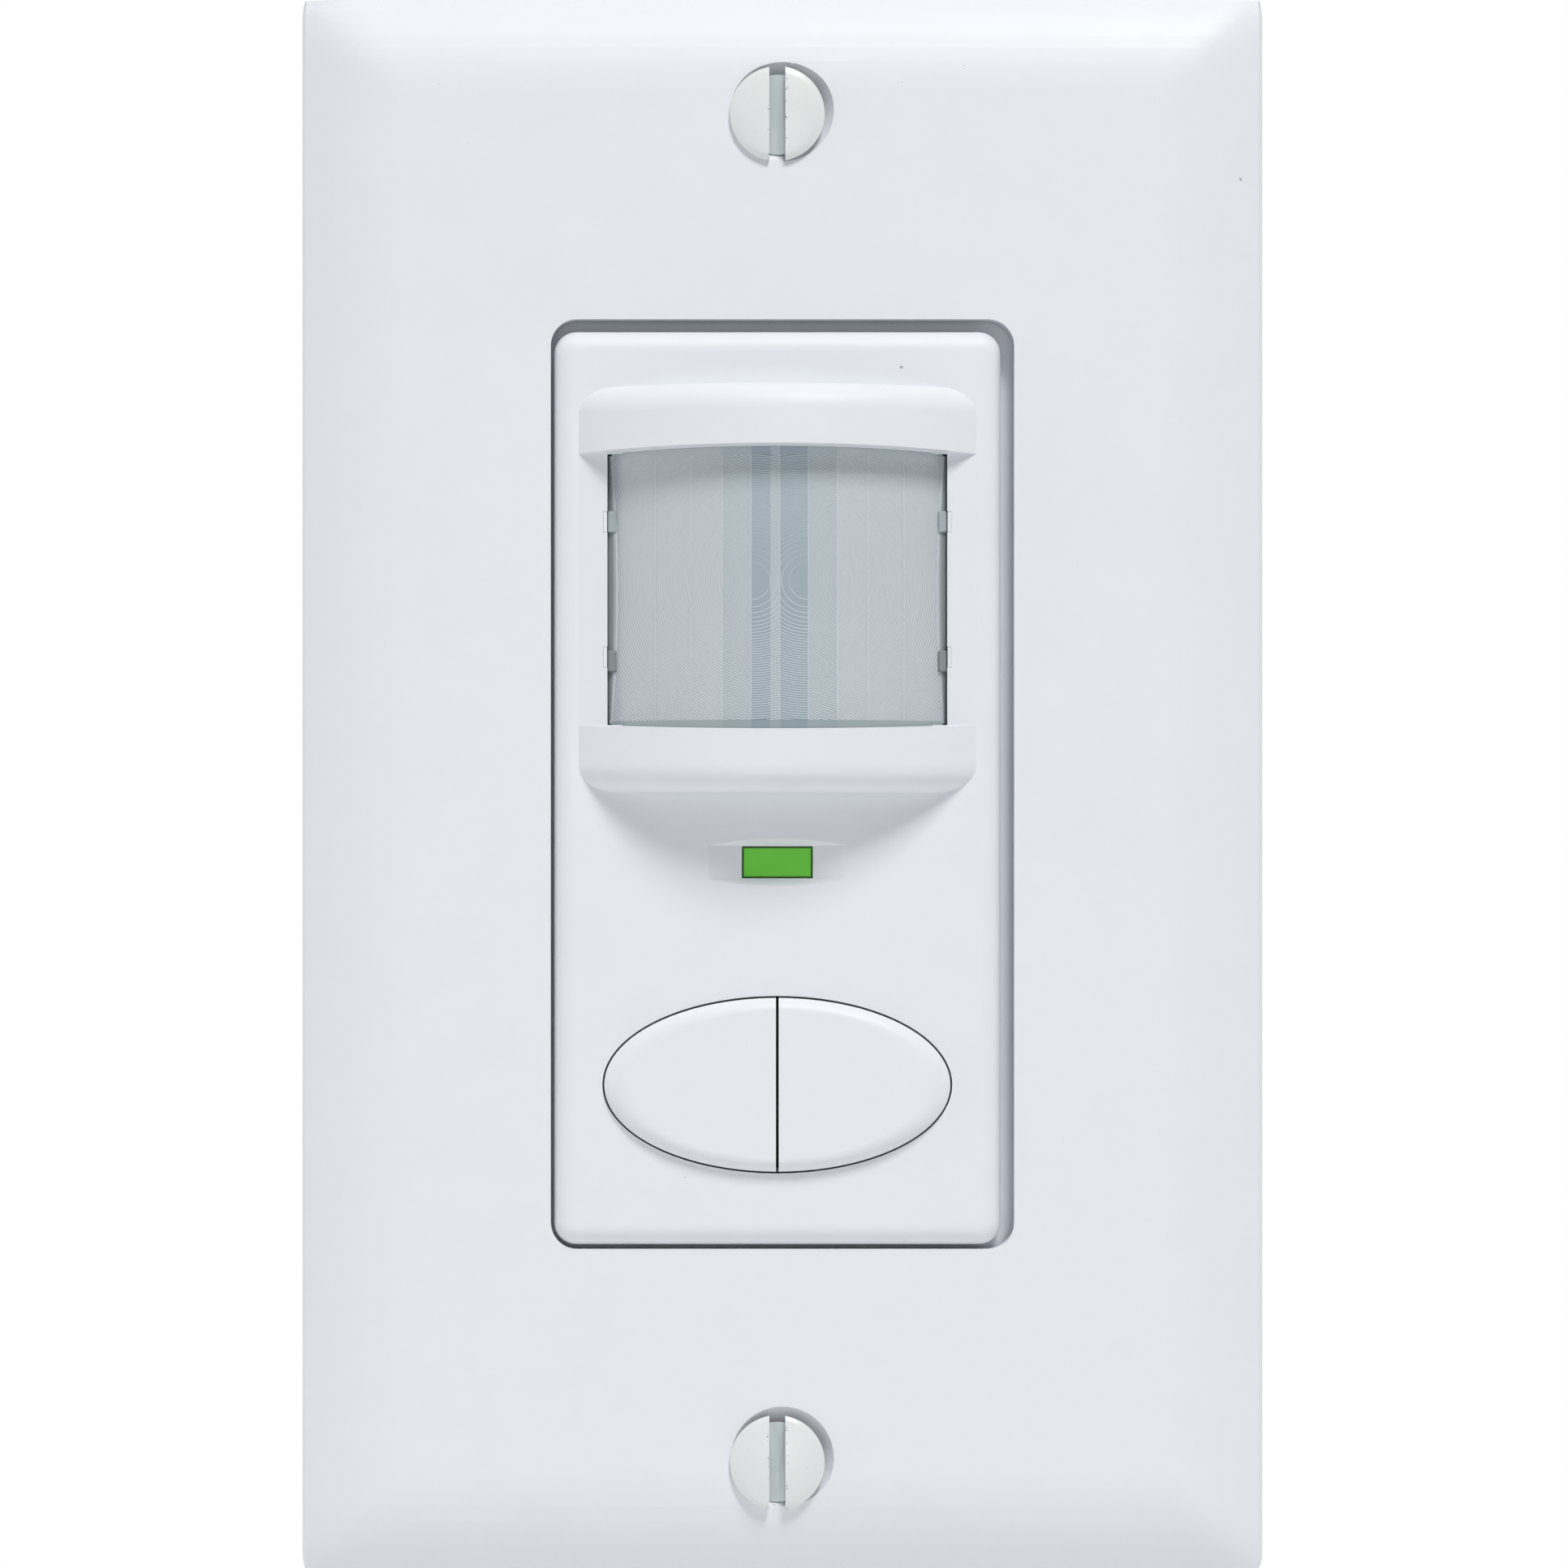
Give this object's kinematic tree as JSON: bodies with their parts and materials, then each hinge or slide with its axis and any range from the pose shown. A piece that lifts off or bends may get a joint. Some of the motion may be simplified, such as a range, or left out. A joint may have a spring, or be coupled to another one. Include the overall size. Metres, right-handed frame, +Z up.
{
  "type": "motion sensor light switch",
  "caption": "White wall switch with a hooded motion sensor lens, a green indicator and a split elliptical push button in a screwed cover plate, on a steel yoke with a rear wiring body.",
  "frame": {"origin": "centre of the two box screws on the back face of the yoke, in the plane of the wall", "axes": "+X to the right as seen from the room, +Y into the wall, +Z up"},
  "size_m": [0.0699, 0.0422, 0.1144],
  "materials": {
    "plate_white": "satin moulded white",
    "face_white": "satin moulded white",
    "button_white": "smooth moulded white",
    "painted_screw": "white enamel",
    "lens_film": "translucent blue-grey",
    "indicator_green": "translucent green",
    "dark_frame": "matt",
    "plunger_black": "matt",
    "board_green": "solder mask over glass epoxy",
    "can_steel": "bright plated",
    "filter_dark": "dark infrared filter",
    "lamp_white": "clear over white",
    "chip_black": "moulded epoxy",
    "pin_brass": "gold plated",
    "relay_case": "moulded case",
    "film_yellow": "moulded box",
    "sleeve_blue": "shrink sleeve",
    "varistor_blue": "dipped epoxy",
    "ferrite": "sintered",
    "copper_wire": "enamelled copper",
    "fuse_metal": "plated caps on a tube",
    "yoke_steel": "zinc plated",
    "screw_steel": "zinc plated",
    "ground_green": "green passivated",
    "housing_dark": "moulded dark grey",
    "terminal_brass": "stamped"
  },
  "bodies": {
    "switch": {"wall_plate": "plate_white", "plate_screws": "painted_screw", "front_cover": "face_white", "fresnel_lens": "lens_film", "lens_retainer": "dark_frame", "indicator_light_pipe": "indicator_green", "left_switch_body": "dark_frame", "right_switch_body": "dark_frame", "control_board": "board_green", "pyro_sensor": "can_steel", "pyro_window": "filter_dark", "status_led": "lamp_white", "control_chip": "chip_black", "board_header": "chip_black", "header_pins": "pin_brass", "power_board": "board_green", "left_relay": "relay_case", "right_relay": "relay_case", "film_capacitor": "film_yellow", "bulk_capacitor": "sleeve_blue", "varistor": "varistor_blue", "choke_core": "ferrite", "choke_winding": "copper_wire", "fuse": "fuse_metal", "mounting_strap": "yoke_steel", "mounting_screws": "screw_steel", "ground_screw": "ground_green", "rear_housing": "housing_dark", "housing_screws": "screw_steel", "terminal_plates": "terminal_brass", "terminal_screws": "screw_steel"},
    "left_button": {"left_button": "button_white"},
    "right_button": {"right_button": "button_white"},
    "left_plunger": {"left_switch_plunger": "plunger_black"},
    "right_plunger": {"right_switch_plunger": "plunger_black"}
  },
  "joints": [
    {"name": "left_button_press", "type": "slide", "parent": "switch", "child": "left_button", "axis": [0, 1, 0], "range_m": [0, 0.0005], "stiffness_N_per_m": 1500, "springref_m": -0.0006},
    {"name": "right_button_press", "type": "slide", "parent": "switch", "child": "right_button", "axis": [0, 1, 0], "range_m": [0, 0.0005], "stiffness_N_per_m": 1500, "springref_m": -0.0006},
    {"name": "left_plunger_press", "type": "slide", "parent": "switch", "child": "left_plunger", "axis": [0, 1, 0], "range_m": [0, 0.0005]},
    {"name": "right_plunger_press", "type": "slide", "parent": "switch", "child": "right_plunger", "axis": [0, 1, 0], "range_m": [0, 0.0005]}
  ],
  "couplings": [
    {"joint": "left_plunger_press", "follows": "left_button_press", "ratio": 1},
    {"joint": "right_plunger_press", "follows": "right_button_press", "ratio": 1}
  ]
}
